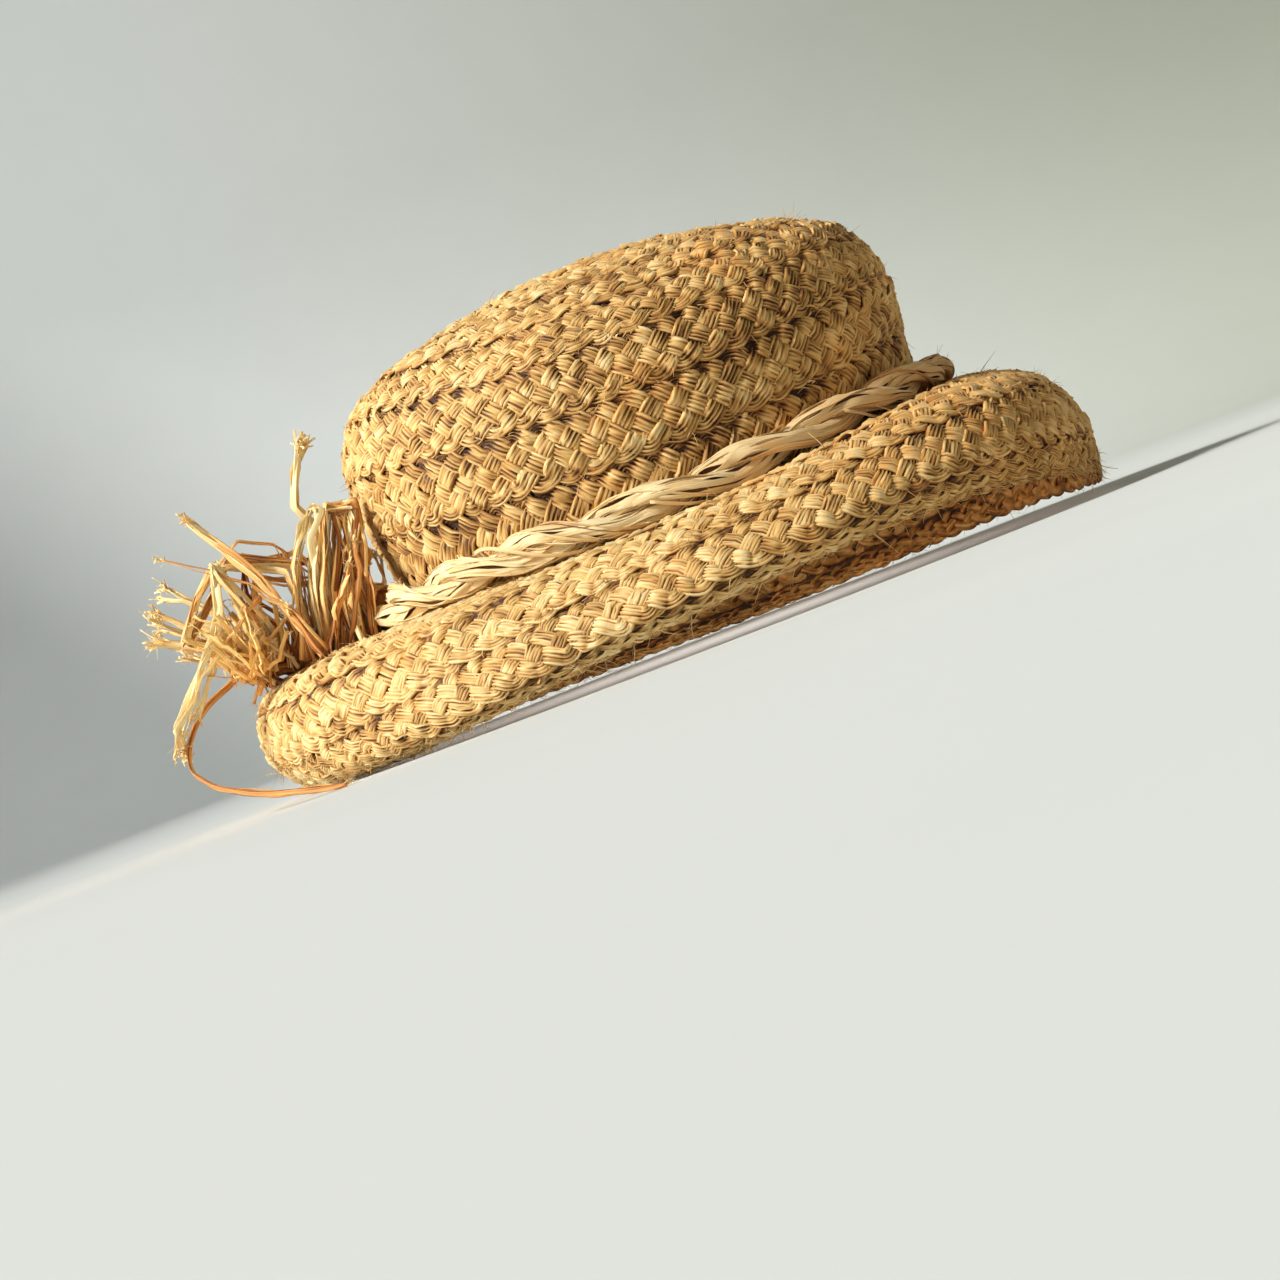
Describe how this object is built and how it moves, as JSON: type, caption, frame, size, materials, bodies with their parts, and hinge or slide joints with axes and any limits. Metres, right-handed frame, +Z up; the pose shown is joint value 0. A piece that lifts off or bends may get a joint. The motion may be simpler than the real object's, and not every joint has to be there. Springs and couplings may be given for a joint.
{
  "type": "floppy straw hat",
  "caption": "Floppy braided raffia hat with a rounded crown, a drooping brim, a twisted raffia cord band and a loose raffia bow at the back.",
  "frame": {"origin": "middle of the bounding box on the plane that the rim rests on", "axes": "+X towards the front of the hat, +Z up along the crown, -Y the side that the picture shows"},
  "size_m": [0.3316, 0.2666, 0.1412],
  "materials": {
    "braided_raffia": "natural raffia braid, matt with a soft straw sheen",
    "raffia_cord": "natural raffia laid as a two-ply cord, matt",
    "raffia_bow": "loose amber raffia strands, matt"
  },
  "bodies": {
    "root": {"crown": "braided_raffia", "brim": "braided_raffia", "twisted_band": "raffia_cord", "bow_knot": "raffia_cord", "bow_loops": "raffia_bow", "bow_tails": "raffia_bow"}
  },
  "joints": []
}
